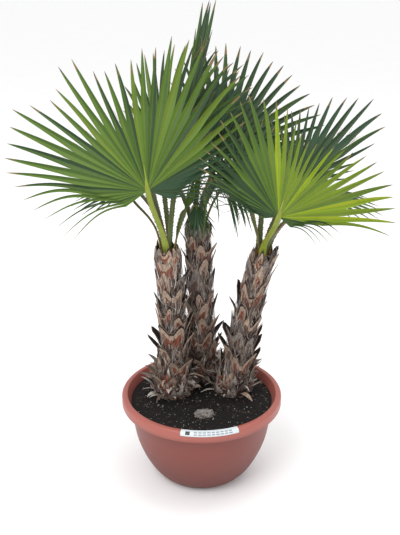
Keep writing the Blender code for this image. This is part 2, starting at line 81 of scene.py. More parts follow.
class Finish:
    """A material: a Principled shader and the nodes that drive it."""

    def __init__(self, name, specular):
        self.material = bpy.data.materials.new(name)
        self.material.use_nodes = True
        self.tree = self.material.node_tree
        self.shader = self.tree.nodes["Principled BSDF"]
        self.feed(self.shader, {"Specular IOR Level": specular})

    def feed(self, node, sockets):
        """Gives a node's sockets their values or links."""
        for key, given in sockets.items():
            given = given.socket if isinstance(given, Value) else given
            if isinstance(given, bpy.types.NodeSocket):
                self.tree.links.new(given, node.inputs[key])
            else:
                node.inputs[key].default_value = given

    def node(self, kind, settings, sockets):
        """A node of this kind: its settings first, then the values or links of its sockets."""
        made = self.tree.nodes.new("ShaderNode" + kind)
        for key, setting in settings.items():
            setattr(made, key, setting)
        self.feed(made, sockets)
        return made

    def number(self, kind, settings, given):
        made = self.node(kind, settings, dict(enumerate(given)))
        return Value(self, made.outputs[0])

    def place(self, space):
        """Where a point lies: "Object" is the piece's own space, "UV" runs across and along."""
        return self.node("TexCoord", {}, {}).outputs[space]

    def coordinate(self, space, axis):
        split = self.node("SeparateXYZ", {}, {0: self.place(space)})
        return Value(self, split.outputs[axis])

    def noise(self, scale, detail, stretch=(1.0, 1.0, 1.0)):
        """Noise from 0 to 1 in the piece's own space."""
        sized = self.node("Mapping", {}, {"Vector": self.place("Object"), "Scale": stretch})
        made = self.node("TexNoise", {}, {"Vector": sized.outputs[0], "Scale": scale,
                                          "Detail": detail})
        return Value(self, made.outputs["Fac"])

    def band(self, value, low, high):
        """0 below low, 1 above high, and a smooth step between them."""
        made = self.node("MapRange", {"interpolation_type": "SMOOTHSTEP"},
                         {"Value": value, "From Min": low, "From Max": high})
        return Value(self, made.outputs[0])

    def mix(self, mask, first, second):
        """Colour between two colours, each a tuple or the result of another mix."""
        first, second = ((*given, 1.0) if isinstance(given, tuple) else given
                         for given in (first, second))
        made = self.node("Mix", {"data_type": "RGBA"}, {0: mask, 6: first, 7: second})
        return made.outputs[2]

    def surface(self, colour, roughness, relief=None, depth=0.0, strength=0.0):
        """Feeds the shader: its colour, its roughness and a relief of this depth in metres."""
        self.feed(self.shader, {"Base Color": colour, "Roughness": roughness})
        if relief is not None:
            bump = self.node("Bump", {}, {"Height": relief, "Distance": depth,
                                          "Strength": strength})
            self.feed(self.shader, {"Normal": bump.outputs[0]})
        return self.material


def paint(red, green, blue):
    """Linear colour from the red, green and blue that the eye compares, 0 to 255."""
    return tuple((part / 255.0) ** 2.2 for part in (red, green, blue))


def piece(name, points, faces, materials, dealt=None, smooth=True, uvs=None):
    """A mesh object that rides on the plant. Dealt holds each face's place in the materials."""
    mesh = bpy.data.meshes.new(name)
    mesh.from_pydata(points, [], faces)
    for material in materials:
        mesh.materials.append(material)
    if dealt is not None:
        mesh.polygons.foreach_set("material_index", dealt)
    mesh.polygons.foreach_set("use_smooth", [smooth] * len(faces))
    if uvs is not None:
        layer = mesh.uv_layers.new(name="along")
        corners = [place for face in faces for place in face]
        layer.data.foreach_set("uv", [part for place in corners for part in uvs[place]])
    mesh.update()
    thing = bpy.data.objects.new(name, mesh)
    bpy.context.scene.collection.objects.link(thing)
    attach(thing, "root")
    return thing


def curve_through(profile, cuts):
    """Catmull-Rom curve through (radius, height) points, with so many cuts in each run."""
    points = []
    ends = [profile[0]] + list(profile) + [profile[-1]]
    for before, start, end, after in zip(ends, ends[1:], ends[2:], ends[3:]):
        for cut in range(cuts):
            t = cut / cuts
            points.append(tuple(
                0.5 * (2 * b + (c - a) * t + (2 * a - 5 * b + 4 * c - d) * t * t
                       + (3 * b - a - 3 * c + d) * t ** 3)
                for a, b, c, d in zip(before, start, end, after)))
    return points + [profile[-1]]


def bands(start, rings, sides, inwards=False):
    """Quads between closed rings of points that follow each other from start."""
    faces = []
    for ring in range(rings - 1):
        near = start + ring * sides
        far = near + sides
        for side in range(sides):
            after = (side + 1) % sides
            if inwards:
                faces.append((near + side, far + side, far + after, near + after))
            else:
                faces.append((near + side, near + after, far + after, far + side))
    return faces


def around(radius, angle):
    """The x and y of a point at this radius and angle."""
    return radius * math.cos(angle), radius * math.sin(angle)


def turned(name, profile, steps, materials):
    """Surface of revolution whose profile starts and ends on the axis."""
    points = [(0.0, 0.0, profile[0][1])]
    for radius, height in profile[1:-1]:
        points += [(*around(radius, math.tau * step / steps), height) for step in range(steps)]
    points.append((0.0, 0.0, profile[-1][1]))
    last_ring = 1 + (len(profile) - 3) * steps
    faces = bands(1, len(profile) - 2, steps)
    for step in range(steps):
        after = (step + 1) % steps
        faces.append((0, 1 + after, 1 + step))
        faces.append((len(points) - 1, last_ring + step, last_ring + after))
    return piece(name, points, faces, materials)


RIM_RADIUS = 0.250
RIM_TOP = 0.280
RIM_ROLL = 0.009
RIM_BOTTOM = 0.246
RIM_INNER = 0.232
BOWL_WALL = 0.0035
BOWL_FLOOR = 0.006
BOWL_STEPS = 220
BOWL_BODY = ((0.124, 0.0), (0.144, 0.016), (0.166, 0.044), (0.188, 0.086), (0.206, 0.136),
             (0.216, 0.190), (0.224, 0.246))


def rim_arc(steps):
    """The quarter roll at the rim's outer top edge."""
    arc = []
    for step in range(steps + 1):
        angle = math.radians(90.0 * step / steps)
        arc.append((RIM_RADIUS - RIM_ROLL + math.sin(angle) * RIM_ROLL,
                    RIM_TOP - RIM_ROLL + math.cos(angle) * RIM_ROLL))
    return arc


def bowl_finish():
    finish = Finish("terracotta_plastic", 0.45)
    cloud = finish.noise(9.0, 5.0)
    grain = finish.noise(420.0, 2.0)
    level = finish.coordinate("Object", "Z")
    # The colour turns darker and the surface rougher towards the foot.
    foot_mask = finish.band(0.17 - level + cloud * 0.10, 0.02, 0.22)
    # Painted light and shade: the rim is painted paler as lit, and the body below it darker as
    # shade.
    rim_painted_light = finish.band(level, 0.236, 0.262)
    shaded = finish.mix(cloud, paint(112, 57, 50), paint(128, 68, 60))
    base = finish.mix(rim_painted_light, shaded, paint(160, 90, 80))
    foot_darkened = finish.mix(foot_mask * 0.6, base, paint(86, 52, 48))
    return finish.surface(foot_darkened, 0.34 + cloud * 0.16 + foot_mask * 0.18, grain, 0.0002, 0.35)


body = curve_through(BOWL_BODY, 6)
lip = [(RIM_RADIUS - 0.004, RIM_BOTTOM - 0.0005), (RIM_RADIUS - 0.0012, RIM_BOTTOM + 0.0008),
       (RIM_RADIUS, RIM_BOTTOM + 0.004)]
inner_edge = [(RIM_INNER + 0.003, RIM_TOP), (RIM_INNER + 0.0008, RIM_TOP - 0.0006),
              (RIM_INNER, RIM_TOP - 0.002), (RIM_INNER - 0.004, RIM_TOP - 0.012)]
inside = [(radius - BOWL_WALL, height + BOWL_FLOOR) for radius, height in reversed(body)]
bowl_profile = ([(0.0, 0.0)] + body + lip + list(reversed(rim_arc(10))) + inner_edge
                + inside + [(0.0, BOWL_FLOOR)])
bowl = turned("bowl_shell", bowl_profile, BOWL_STEPS, [bowl_finish()])
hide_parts("bowl")

# The label is a thin strip of glossy paper stuck round the front of the rim. What is printed on
# it is generic: one dark square and rows of plain grey dashes.
LABEL_FROM = 255.6
LABEL_TO = 295.6
LABEL_LOW = 0.268
LABEL_THICK = 0.0006
LABEL_GLUE = 0.0003
LABEL_COLUMNS = 120
SQUARE_COLUMNS = range(10, 19)
SQUARE_ROWS = range(4, 14)
DASH_COLUMNS = range(27, 108)
DASH_ROWS = (5, 6, 7, 11, 12, 13)
DASH_PITCH = 9
DASH_LENGTH = 7
PAPER, INK, DASH = range(3)


def mix(first, second, share):
    return first + (second - first) * share


def smooth_step(share):
    share = min(1.0, max(0.0, share))
    return share * share * (3.0 - 2.0 * share)


def label_finish(name, colour, worn):
    finish = Finish(name, 0.5)
    fibre = finish.noise(260.0, 3.0)
    return finish.surface(finish.mix(fibre, colour, worn), 0.30 + fibre * 0.16, fibre, 0.0001, 0.3)


def label():
    """Two layers over the rim's roll, raised on its flat top and set outwards down its side."""
    section = [(RIM_INNER + 0.003, RIM_TOP), (RIM_INNER + 0.007, RIM_TOP)] + rim_arc(14)
    section.append((RIM_RADIUS, LABEL_LOW))
    points = []
    for column in range(LABEL_COLUMNS + 1):
        angle = math.radians(mix(LABEL_FROM, LABEL_TO, column / LABEL_COLUMNS))
        for layer in (LABEL_GLUE, LABEL_GLUE + LABEL_THICK):
            for place, (radius, height) in enumerate(section):
                share = smooth_step((place - 1.0) / 10.0)
                points.append((*around(radius + layer * share, angle),
                               height + layer * (1.0 - 0.6 * share)))
    rows = len(section)
    ring = 2 * rows
    faces = []
    dealt = []
    for column in range(LABEL_COLUMNS):
        near = column * ring
        far = near + ring
        for row in range(rows - 1):
            faces.append((near + rows + row, near + rows + row + 1, far + rows + row + 1,
                          far + rows + row))
            square = column in SQUARE_COLUMNS and row in SQUARE_ROWS
            dash = column in DASH_COLUMNS and row in DASH_ROWS
            dash = dash and column % DASH_PITCH < DASH_LENGTH
            dealt.append(INK if square else DASH if dash else PAPER)
            faces.append((near + row + 1, near + row, far + row, far + row + 1))
            dealt.append(PAPER)
        faces.append((near + rows - 1, far + rows - 1, far + 2 * rows - 1, near + 2 * rows - 1))
        dealt.append(PAPER)
    paper = label_finish("label_paper", paint(212, 219, 223), paint(196, 204, 209))
    ink = label_finish("label_ink", paint(38, 38, 42), paint(56, 56, 60))
    grey = label_finish("label_grey", paint(112, 119, 126), paint(140, 146, 152))
    return piece("label_skin", points, faces, [paper, ink, grey], dealt)


label_skin = label()
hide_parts("label_strip")

# The soil is dark moist potting mix in loose crumbs, with pale grains of pumice and dark chips
# of bark strewn over its uneven face. A lump of washed-out old fibre lies on it in front.
SOIL_TOP = 0.254
SOIL_RADIUS = 0.2225
LUMP_PLACE = (0.008, -0.112)
LUMP_SIZE = (0.030, 0.021, 0.015)
LUMP_CUT = -0.35
SWELL = 0.0035
CRUMBS = 0.0030
GRAIN_REACH = 0.215
GRAIN_SIDES = 5


def soil_height(x, y):
    """Height of the soil's crumbly face over a point."""
    edge = smooth_step((SOIL_RADIUS - math.hypot(x, y)) / 0.03)
    swell = noise.noise(Vector((x * 14.0, y * 14.0, 3.0))) * SWELL
    crumbs = noise.fractal(Vector((x * 130.0, y * 130.0, 1.0)), 0.7, 2.2, 4) * CRUMBS
    return SOIL_TOP - 0.001 + edge * (swell + crumbs + 0.002)


def soil_finish():
    finish = Finish("potting_soil", 0.25)
    crumb = finish.noise(95.0, 8.0)
    patch = finish.noise(16.0, 3.0)
    dark = finish.mix(crumb, paint(12, 11, 12), paint(48, 42, 40))
    damp = finish.mix(patch, dark, paint(24, 22, 23))
    return finish.surface(damp, 0.72 + crumb * 0.25, crumb, 0.003, 0.9)


def soil():
    rings = 110
    sides = 300
    points = [(0.0, 0.0, soil_height(0.0, 0.0))]
    for ring in range(1, rings + 1):
        radius = SOIL_RADIUS * ring / rings
        for side in range(sides):
            x, y = around(radius, math.tau * side / sides)
            points.append((x, y, soil_height(x, y)))
    faces = [(0, 1 + side, 1 + (side + 1) % sides) for side in range(sides)]
    faces += bands(1, rings, sides, inwards=True)
    return piece("soil_face", points, faces, [soil_finish()])


def grain_finish(name, colour, dark):
    finish = Finish(name, 0.3)
    speck = finish.noise(300.0, 3.0)
    return finish.surface(finish.mix(speck, colour, dark), 0.7 + speck * 0.25, speck, 0.0008, 0.6)


def grains(name, materials, count, size, flat, seed):
    """Small uneven grains strewn over the soil, each a many-sided crumb with two points."""
    draw = random.Random(seed)
    points = []
    faces = []
    dealt = []
    for _ in range(count):
        x, y = around(GRAIN_REACH * math.sqrt(draw.random()), draw.uniform(0.0, math.tau))
        grain = size * draw.uniform(0.5, 1.35)
        centre = Vector((x, y, soil_height(x, y) + grain * flat * 0.2))
        spin = draw.uniform(0.0, math.pi)
        start = len(points)
        for corner in range(GRAIN_SIDES):
            turn = spin + math.tau * corner / GRAIN_SIDES
            out_x, out_y = around(grain * draw.uniform(0.7, 1.1), turn)
            points.append(centre + Vector((out_x, out_y * 0.75, 0.0)))
        points.append(centre + Vector((0.0, 0.0, grain * flat)))
        points.append(centre - Vector((0.0, 0.0, grain * flat)))
        tint = draw.randrange(len(materials))
        for corner in range(GRAIN_SIDES):
            after = (corner + 1) % GRAIN_SIDES
            faces.append((start + corner, start + after, start + GRAIN_SIDES))
            faces.append((start + after, start + corner, start + GRAIN_SIDES + 1))
            dealt += [tint, tint]
    return piece(name, points, faces, materials, dealt, smooth=False)


def lump():
    """The fibre lump: a ball of uneven ridges, cut flat underneath."""
    columns = 72
    rows = 36
    points = []
    for row in range(rows + 1):
        tilt = math.pi * row / rows
        for column in range(columns):
            turn = math.tau * column / columns
            way = Vector((*around(math.sin(tilt), turn), math.cos(tilt)))
            ridge = 0.90 + 0.34 * noise.fractal(way * 3.4, 0.8, 2.1, 5)
            height = max(LUMP_CUT, way.z * ridge)
            points.append((LUMP_PLACE[0] + way.x * ridge * LUMP_SIZE[0],
                           LUMP_PLACE[1] + way.y * ridge * LUMP_SIZE[1],
                           SOIL_TOP + (height - LUMP_CUT) * LUMP_SIZE[2]))
    faces = bands(0, rows + 1, columns, inwards=True)
    finish = Finish("old_fibre", 0.2)
    strand = finish.noise(60.0, 6.0, (1.0, 4.0, 4.0))
    colour = finish.mix(strand, paint(62, 56, 52), paint(176, 170, 164))
    material = finish.surface(colour, 0.8 + strand * 0.2, strand, 0.004, 1.0)
    return piece("fibre_ball", points, faces, [material])


soil_face = soil()
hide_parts("soil")
pumice = [grain_finish("pumice_pale", paint(206, 204, 198), paint(160, 156, 150)),
          grain_finish("pumice_grey", paint(150, 146, 140), paint(112, 108, 104))]
chips = [grain_finish("bark_chip_brown", paint(54, 42, 36), paint(36, 29, 26)),
         grain_finish("bark_chip_dark", paint(34, 30, 29), paint(20, 18, 18)),
         grain_finish("bark_chip_tan", paint(74, 62, 52), paint(52, 44, 38))]
pumice_grains = grains("pumice_grains", pumice, count=420, size=0.0017, flat=0.8, seed=11)
bark_chips = grains("bark_chips", chips, count=900, size=0.0042, flat=0.35, seed=12)
fibre_ball = lump()
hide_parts("fibre_lump")

# The stems are fibrous columns clad in the boots of their cut leaves: each boot is a shield that
# wraps the stem, rust red below, and splits above into two pale prongs. Grey woven fibre shows
# between them, and the oldest husks hang loose and curled round the foot.
FLARE_HEIGHT = 0.150
BOOT_TURN = 137.5
GAP = 0.0003
GROUND = SOIL_TOP + GAP
BOOTS_TO_A_SOLID = 1.2
BOOT_SIZES = (0.116, 0.096)
BOOT_STANDS = (0.038, 0.019)
BOOT_BULGE = 0.0085
BOOT_WIDTH = 0.62
BOOT_OVER_TOP = 0.045
PRONG_PLACE = 0.62
PRONG_HALF_WIDTH = 0.42
WEAVE_DEPTH = 0.0022
COLLAR_BOOTS = 9
STRANDS = 1500
HUSKS = 170
STEM_SEED = 100


@dataclass
class Stem:
    """A booted column: foot and top of its middle line, its bow, radii and boots.

    First boot is the azimuth at which the spiral of boots starts.
    """

    name: str
    foot: Vector
    top: Vector
    bow: Vector
    foot_radius: float
    waist_radius: float
    top_radius: float
    boots: int
    first_boot: float

    def share(self, height):
        return (height - self.foot.z) / (self.top.z - self.foot.z)

    def centre(self, height):
        share = self.share(height)
        return mix(self.foot, self.top, share) + self.bow * (4.0 * share * (1.0 - share))

    def radius(self, height):
        taper = mix(self.waist_radius, self.top_radius, self.share(height))
        flare = 1.0 - smooth_step((height - self.foot.z) / FLARE_HEIGHT)
        return taper + (self.foot_radius - self.waist_radius) * flare

    def skin(self, height, azimuth, outwards):
        """Point at a distance outside the column's face."""
        reach = self.radius(height) + outwards
        return self.centre(height) + Vector((*around(reach, math.radians(azimuth)), 0.0))


STEMS = (
    Stem("left_stem", Vector((-0.090, 0.040, GROUND)), Vector((-0.100, 0.000, 0.738)),
         bow=Vector((0.006, 0.004, 0.0)), foot_radius=0.063, waist_radius=0.040,
         top_radius=0.032, boots=19, first_boot=248.0),
    Stem("middle_stem", Vector((0.002, 0.134, GROUND)), Vector((-0.012, 0.080, 0.785)),
         bow=Vector((0.002, 0.0, 0.0)), foot_radius=0.050, waist_radius=0.041,
         top_radius=0.032, boots=20, first_boot=300.0),
    Stem("right_stem", Vector((0.099, 0.052, GROUND)), Vector((0.180, 0.000, 0.732)),
         bow=Vector((-0.006, 0.004, 0.0)), foot_radius=0.061, waist_radius=0.039,
         top_radius=0.032, boots=19, first_boot=225.0),
)


def shade(colour, factor):
    return tuple(min(1.0, part * factor) for part in colour)


def bark_finish(name, pale, dark):
    """Dry leaf base: fine fibres that run up the stem, darker in their furrows."""
    finish = Finish(name, 0.2)
    strand = finish.noise(70.0, 5.0, (4.0, 4.0, 0.7))
    blotch = finish.noise(28.0, 3.0)
    fibres = finish.mix(finish.band(strand, 0.30, 0.68), dark, pale)
    colour = finish.mix(blotch * 0.5, fibres, shade(pale, 0.62))
    return finish.surface(colour, 0.72 + strand * 0.25, strand, 0.0022, 0.9)


BARK = [bark_finish(name, paint(*pale), paint(*dark)) for name, pale, dark in (
    ("boot_rust", (148, 92, 74), (82, 50, 42)),
    ("boot_brown", (122, 102, 92), (64, 50, 45)),
    ("boot_tan", (182, 160, 142), (112, 93, 81)),
    ("boot_grey", (146, 137, 131), (84, 76, 72)),
    ("boot_dark", (62, 51, 47), (34, 27, 26)),
    ("husk_pale", (212, 205, 198), (146, 137, 130)),
)]
RUST, BROWN, TAN, GREY, DARK, PALE = range(6)


class Mass:
    """Points and faces of many small forms that end up in one piece."""

    def __init__(self):
        self.points = []
        self.faces = []
        self.dealt = []
        self.uvs = []

    def sheet(self, rows, tint, uvs=None, closed=False):
        """Quads over rows of points; tint is a number or a function of row and column."""
        start = len(self.points)
        wide = len(rows[0])
        for place, row in enumerate(rows):
            self.points += row
            for column in range(wide):
                given = (column / max(1, wide - 1), place / max(1, len(rows) - 1))
                self.uvs.append(uvs[place][column] if uvs else given)
        for row in range(len(rows) - 1):
            for column in range(wide if closed else wide - 1):
                after = (column + 1) % wide
                near = start + row * wide
                self.faces.append((near + column, near + after, near + wide + after,
                                   near + wide + column))
                self.dealt.append(tint(row, column) if callable(tint) else tint)

    def ribbon(self, path, width, across, tint):
        """A strip along a path that ends in a point; across is its sideways way."""
        rows = []
        for place, point in enumerate(path):
            share = place / (len(path) - 1)
            half = 0.5 * width * (1.0 - share ** 2.5) + 0.0001
            rows.append([point - across * half, point + across * half])
        self.sheet(rows, tint)

    def make(self, name, materials):
        return piece(name, self.points, self.faces, materials, self.dealt, uvs=self.uvs)


def column_mass(stem, mass):
    """The fibrous column with its woven relief, closed at the top."""
    sides = 72
    rings = 110
    rows = []
    for ring in range(rings + 1):
        height = mix(stem.foot.z, stem.top.z, ring / rings)
        row = []
        for side in range(sides):
            azimuth = 360.0 * side / sides
            weave = noise.fractal(Vector((azimuth * 0.10, height * 60.0, stem.first_boot)),
                                  0.7, 2.0, 4)
            row.append(stem.skin(height, azimuth, -0.0015 + WEAVE_DEPTH * weave))
        rows.append(row)
    rows.append([stem.top + (point - stem.top) * 0.4 + Vector((0.0, 0.0, 0.002))
                 for point in rows[-1]])
    rows.append([stem.top + (point - stem.top) * 0.01 for point in rows[-1]])

    def tint(row, column):
        band = noise.noise(Vector((column * 0.22, row * 0.16, stem.first_boot)))
        return DARK if band < -0.12 else BROWN if band < 0.18 else GREY

    mass.sheet(rows, tint, closed=True)


def boot_mass(stem, mass, azimuth, low, size, stand, draw):
    """One boot: a curved shield of some thickness whose top is split into two prongs.

    Across it u runs from -1 to 1, and up it v runs from 0 to 1 at the highest prong. Low is the
    height of its foot, and stand how far its prongs stand out.
    """
    columns = 13
    rows = 10
    width = size * BOOT_WIDTH
    depth = draw.uniform(0.34, 0.62)
    lean = draw.uniform(-0.10, 0.10)
    prongs = (draw.uniform(0.82, 1.0), draw.uniform(0.82, 1.0))
    twist = draw.uniform(-0.003, 0.005)
    outer = []
    inner = []
    for row in range(rows):
        climb = row / (rows - 1)
        front = []
        back = []
        for column in range(columns):
            u = 2.0 * column / (columns - 1) - 1.0
            prong = prongs[0] if u < 0.0 else prongs[1]
            peak = max(0.0, 1.0 - abs(abs(u) - PRONG_PLACE) / PRONG_HALF_WIDTH)
            crest = (1.0 - depth) + depth * peak ** 0.8 * prong
            crest -= 0.22 * smooth_step((abs(u) - 0.80) / 0.20)
            v = climb * crest
            half = mix(0.36, 0.52, smooth_step(v / 0.45)) * (1.0 - 0.28 * smooth_step(v - 0.45))
            height = min(low + v * size, stem.top.z + BOOT_OVER_TOP)
            bulge = mix(-0.002, BOOT_BULGE, smooth_step(v / 0.42)) * (1.0 - 0.35 * u * u)
            flare = (stand - BOOT_BULGE) * smooth_step((v - 0.40) / 0.60) * (1.0 + 0.4 * abs(u))
            out = bulge + flare + twist * u * v
            spread = math.degrees((u * half * width + lean * v * width) / stem.radius(height))
            ripple = 0.0006 * noise.noise(Vector((u * 7.0, v * 3.0, azimuth)))
            thick = mix(0.0042, 0.0012, v)
            front.append(stem.skin(height, azimuth + spread, out + ripple))
            back.append(stem.skin(height, azimuth + spread, out - thick))
        outer.append(front)
        inner.append(back)
    worn = draw.random()
    cup = RUST if worn < 0.62 else BROWN
    horn = TAN if worn < 0.72 else GREY
    tip = DARK if draw.random() < 0.4 else horn

    def tint(row, column):
        edge = abs(2.0 * (column + 0.5) / (columns - 1) - 1.0)
        if row > 7:
            return tip
        if row > 5 or (edge > 0.66 and row > 2):
            return horn
        return cup if row > 1 else BROWN

    mass.sheet(outer, tint)
    mass.sheet([list(reversed(row)) for row in inner], DARK)
    mass.sheet([outer[-1], inner[-1]], horn)
    for side in (0, -1):
        mass.sheet([[row[side] for row in outer], [row[side] for row in inner]], BROWN)


def fibre_mass(stem, mass, count, draw):
    """Fine woven strands that cling to the column between the boots."""
    for _ in range(count):
        azimuth = draw.uniform(0.0, 360.0)
        low = draw.uniform(stem.foot.z + 0.01, stem.top.z - 0.02)
        climb = draw.uniform(0.015, 0.070)
        slant = draw.uniform(-30.0, 30.0)
        proud = draw.uniform(0.002, 0.010)
        path = []
        for place in range(6):
            share = place / 5.0
            height = min(low + climb * share, stem.top.z + 0.02)
            wave = 3.0 * math.sin(share * 5.0 + azimuth)
            path.append(stem.skin(height, azimuth + slant * share + wave,
                                  proud + 0.004 * share ** 3))
        angle = math.radians(azimuth)
        across = Vector((-math.sin(angle), math.cos(angle), draw.uniform(-0.4, 0.4)))
        tint = draw.choice((GREY, GREY, TAN, PALE, BROWN, DARK))
        mass.ribbon(path, draw.uniform(0.0008, 0.0024), across.normalized(), tint)


def husk_mass(stem, mass, count, draw):
    """Loose curled husks round the foot, some upright and some curled down to the soil."""
    for _ in range(count):
        azimuth = draw.uniform(0.0, 360.0)
        start = stem.foot.z + draw.uniform(0.004, 0.085)
        length = draw.uniform(0.022, 0.062)
        lift = draw.uniform(0.35, 1.50)
        curl = draw.uniform(-1.5, 1.3)
        side_curl = draw.uniform(-0.5, 0.5)
        angle = math.radians(azimuth)
        point = stem.skin(start, azimuth, 0.001)
        step = length / 8.0
        path = [point]
        for place in range(8):
            heading = angle + side_curl * place / 8.0
            tilt = lift + curl * place / 8.0
            point = point + Vector((math.cos(heading) * math.cos(tilt) * step,
                                    math.sin(heading) * math.cos(tilt) * step,
                                    math.sin(tilt) * step))
            point.z = max(point.z, GROUND + 0.0015)
            path.append(point)
        across = Vector((-math.sin(angle), math.cos(angle), draw.uniform(-0.5, 0.5)))
        tint = draw.choice((PALE, PALE, PALE, GREY, GREY, TAN, RUST, BROWN))
        mass.ribbon(path, draw.uniform(0.005, 0.019), across.normalized(), tint)


def dress_stem(stem, number):
    draw = random.Random(STEM_SEED + number)
    bark = Mass()
    column_mass(stem, bark)
    boots = round(stem.boots * BOOTS_TO_A_SOLID)
    for boot in range(boots):
        share = (boot + 0.35) / boots
        size = mix(*BOOT_SIZES, share) * draw.uniform(0.78, 1.18)
        low = mix(stem.foot.z + 0.004, stem.top.z - 0.060, share)
        azimuth = stem.first_boot + boot * BOOT_TURN + draw.uniform(-18.0, 18.0)
        stand = mix(*BOOT_STANDS, share) * draw.uniform(0.40, 1.35)
        boot_mass(stem, bark, azimuth, low, size, stand, draw)
    for collar in range(COLLAR_BOOTS):
        azimuth = stem.first_boot + collar * 360.0 / COLLAR_BOOTS + draw.uniform(-9.0, 9.0)
        low = stem.top.z - draw.uniform(0.030, 0.046)
        boot_mass(stem, bark, azimuth, low, draw.uniform(0.056, 0.078), 0.004, draw)
    clad = bark.make(stem.name + "_bark", BARK)
    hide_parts(stem.name)
    loose = Mass()
    fibre_mass(stem, loose, STRANDS, draw)
    husk_mass(stem, loose, HUSKS, draw)
    fibres = loose.make(stem.name + "_fibres", BARK)


for place, stem in enumerate(STEMS):
    dress_stem(stem, place)

# The fronds are fans of pleated leaflets on flat toothed stalks. A leaflet is folded along its
# rib, joined to its neighbours over the inner half and free beyond, and ends in a dry thread.
# They grow by the rule that made the solids, and each leaflet keeps its solid's reach.
JOINED_SHARE = 0.56
SIDE_SPLIT = 0.45
SIDE_SPLIT_FROM = 68.0
SIDE_SPLIT_OVER = 40.0
LEAFLET_PITCH = 5.8
FAR_LEAFLET_PITCH = 8.0
INNER_RING = 0.0112
OUTER_RING = 0.0222
INNER_FOOT = (0.0088, 0.0042)
OUTER_FOOT = (0.0116, 0.0046)
PETIOLE_NECK = (0.0080, 0.0042)
PETIOLE_FLAT = 0.45
COSTA_SHARE = 0.16
COSTA_END = 0.0012
BLADE_THICKNESS = 0.0046
SIDE_DROP = 0.38
TIP_WOBBLE = 0.05
LEAFLET_FOLD = 0.32
THREAD_HALF_WIDTH = 0.0004
REACH_SHARES = (1.0, 0.88, 0.76, 0.64, 0.52, 0.40, 0.28, 0.16, 0.08)
ACROSS = (-1.0, -0.5, 0.0, 0.5, 1.0)
UP = Vector((0.0, 0.0, 1.0))


def direction(azimuth, elevation):
    """Unit vector from an azimuth counted from +X towards +Y and an elevation, in degrees."""
    across = math.cos(math.radians(elevation))
    return Vector((*around(across, math.radians(azimuth)), math.sin(math.radians(elevation))))


def scatter(seed):
    """A steady number from 0 to 1 for each seed."""
    return (math.sin(seed * 12.9898) * 43758.5453) % 1.0


@dataclass
class Frond:
    """A fan: its stem, where its petiole stands, its hub and how the blade looks from there.

    Face is the azimuth and elevation of the way the blade looks. Turn is the angle of its middle
    line in its own plane: 90 is straight up, less leans to the right as seen from in front. The
    fan spreads from -left to right degrees about its middle line. Reach holds (angle, share of
    the radius) pairs, and tones (angle, greens) pairs: the greens up to that angle, which paint
    sunlight and shade on the blade. Pitch is the degrees that one leaflet takes, width how many
    times wider than that it is, and rise how steeply the petiole sets out.
    """

    name: str
    stem: int
    ring: float
    foot_azimuth: float
    hub: tuple
    face: tuple
    turn: float
    left: float
    right: float
    radius: float
    sag: float = 0.03
    cup: float = -0.12
    arch: float = 0.10
    pitch: float = LEAFLET_PITCH
    rise: float = 0.30
    reach: tuple = ()
    tones: tuple = ()
    width: float = 1.0

    def __post_init__(self):
        azimuth, rise = self.face
        turn = math.radians(self.turn)
        level = direction(azimuth + 90.0, 0.0)
        upright = direction(azimuth + 180.0, 90.0 - rise)
        self.out = direction(azimuth, rise)
        self.along = level * math.cos(turn) + upright * math.sin(turn)
        self.side = level * math.sin(turn) - upright * math.cos(turn)
        self.centre = Vector(self.hub)
        self.leaflets = max(3, round((self.left + self.right) / self.pitch))

    def edge_angle(self, place):
        """Angle of the notch before the leaflet of this number."""
        return mix(-self.left, self.right, place / self.leaflets)

    def full_reach(self, angle):
        """Share of the radius that a leaflet at this angle has with nothing in its way."""
        if not self.reach:
            widest = max(self.left, self.right)
            drop = max(0.0, (abs(angle) - 0.5 * widest) / (0.5 * widest))
            return 1.0 - SIDE_DROP * drop ** 1.5
        for (before, low), (after, high) in zip(self.reach, self.reach[1:]):
            if angle <= after:
                return mix(low, high, (angle - before) / (after - before))
        return self.reach[-1][1]

    def point(self, angle, distance, lift=0.0):
        """Point of the blade: its sides cup forwards, its ends arch backwards and sag."""
        turn = math.radians(angle)
        share = distance / self.radius
        flat = self.along * math.cos(turn) + self.side * math.sin(turn)
        cupped = self.cup * distance * math.sin(turn) ** 2
        arched = self.arch * self.radius * share ** 2
        sagged = self.sag * self.radius * share ** 2
        return self.centre + flat * distance + self.out * (cupped - arched + lift) - UP * sagged

    def notch_distance(self, place, share):
        angle = self.edge_angle(place)
        split = 1.0 - SIDE_SPLIT * smooth_step((abs(angle) - SIDE_SPLIT_FROM) / SIDE_SPLIT_OVER)
        return self.radius * self.full_reach(angle) * share * JOINED_SHARE * split

    def tip_distance(self, number, share):
        angle = self.edge_angle(number + 0.5)
        wobble = 1.0 - TIP_WOBBLE * scatter(number * 1.7 + self.radius * 100.0)
        return self.radius * self.full_reach(angle) * share * wobble


# The greens paint light and shade into the leaves: the bright and yellow greens are painted
# gives each green the darker one that is painted as shade on one side of a leaflet's fold.
# sunlight on lit, translucent parts, the blue and deep greens are painted shade, and SHADY_SIDE
DEEP, SHADE_BLUE, MID, LEAF, WARM, SUNLIT_BRIGHT, SUNLIT_YELLOW, DRY, THREAD = range(9)
SHADY_SIDE = (DEEP, DEEP, DEEP, MID, LEAF, WARM, SUNLIT_BRIGHT, DRY, THREAD)
SHADED = ((180.0, (DEEP, SHADE_BLUE, DEEP)),)
OPEN = ((180.0, (MID, LEAF, DEEP)),)
LEFT, MIDDLE, RIGHT = 0, 1, 2


def far_frond(name, stem, ring, foot_azimuth, azimuth, rise, length, tilt, radius, twist,
              climb=0.30):
    """A frond of the crown's far side: its petiole leans out and its blade goes on from it."""
    hub = STEMS[stem].top + direction(azimuth, rise) * length
    face = (azimuth + 180.0 + twist, 90.0 - tilt)
    return Frond(name, stem, ring, foot_azimuth, tuple(hub), face, 90.0, 76.0, 76.0, radius,
                 sag=0.16, cup=-0.15, arch=0.12, pitch=FAR_LEAFLET_PITCH, rise=climb,
                 tones=OPEN)


